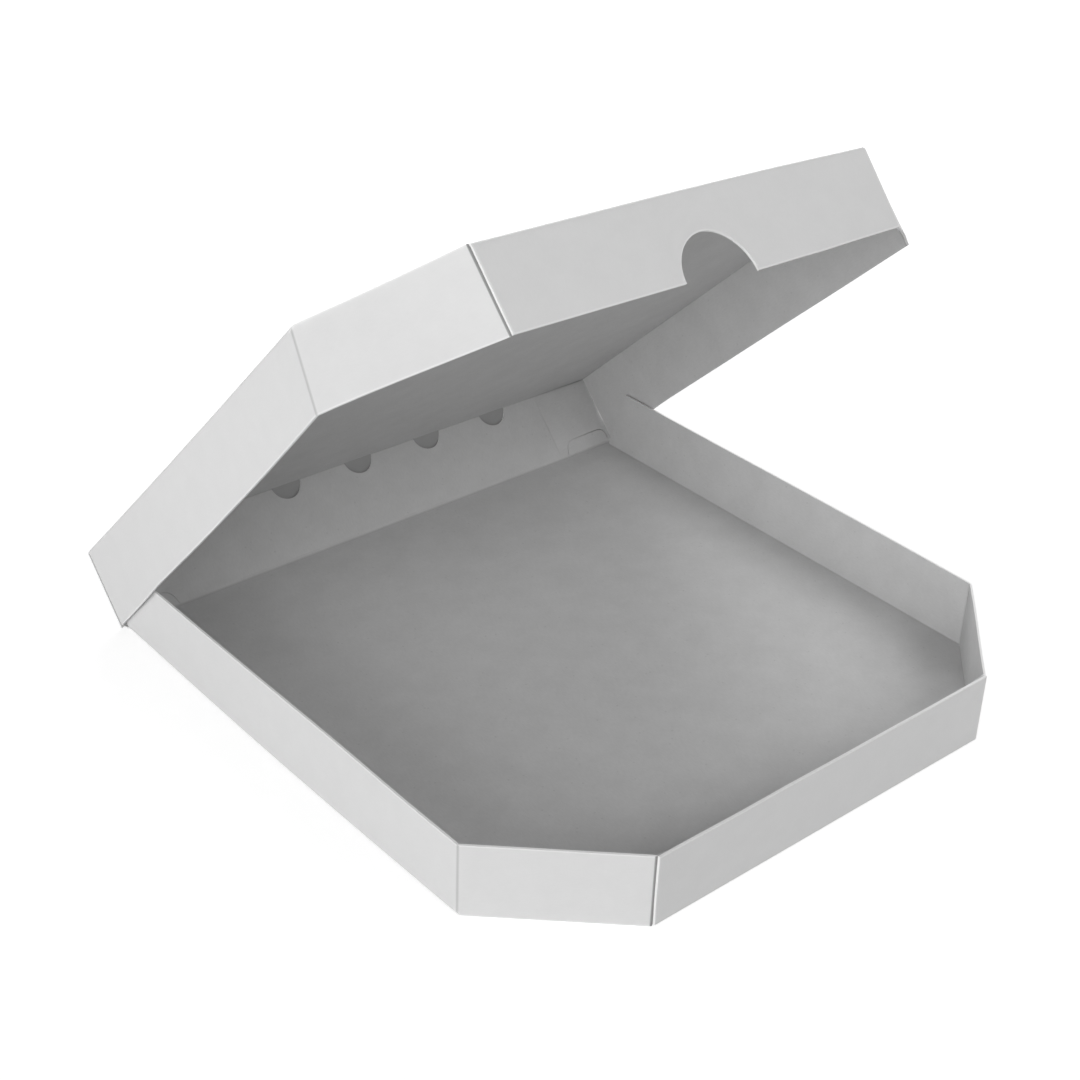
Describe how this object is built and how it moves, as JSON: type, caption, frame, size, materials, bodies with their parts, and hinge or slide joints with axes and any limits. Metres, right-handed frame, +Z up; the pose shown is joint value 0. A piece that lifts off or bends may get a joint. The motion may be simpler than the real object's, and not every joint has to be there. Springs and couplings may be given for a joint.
{
  "type": "pizza box",
  "caption": "Plain white folded-board pizza box with cut front corners, standing open, with a hinged lid, a thumb notch in its front wall and half-moon steam vents in its back wall.",
  "frame": {"origin": "centre of the tray's underside, on the surface that the box stands on", "axes": "+X to the right seen from the front, +Y to the back where the lid is hinged, +Z up"},
  "size_m": [0.3368, 0.3608, 0.2646],
  "materials": {
    "white_board": "matte white-lined board"
  },
  "bodies": {
    "tray": {"tray": "white_board"},
    "lid": {"lid": "white_board"}
  },
  "joints": [
    {"name": "lid_hinge", "type": "hinge", "parent": "tray", "child": "lid", "pos_m": [0, 0.1659, 0.0006], "axis": [-1, 0, 0], "range_deg": [-44, 38]}
  ]
}
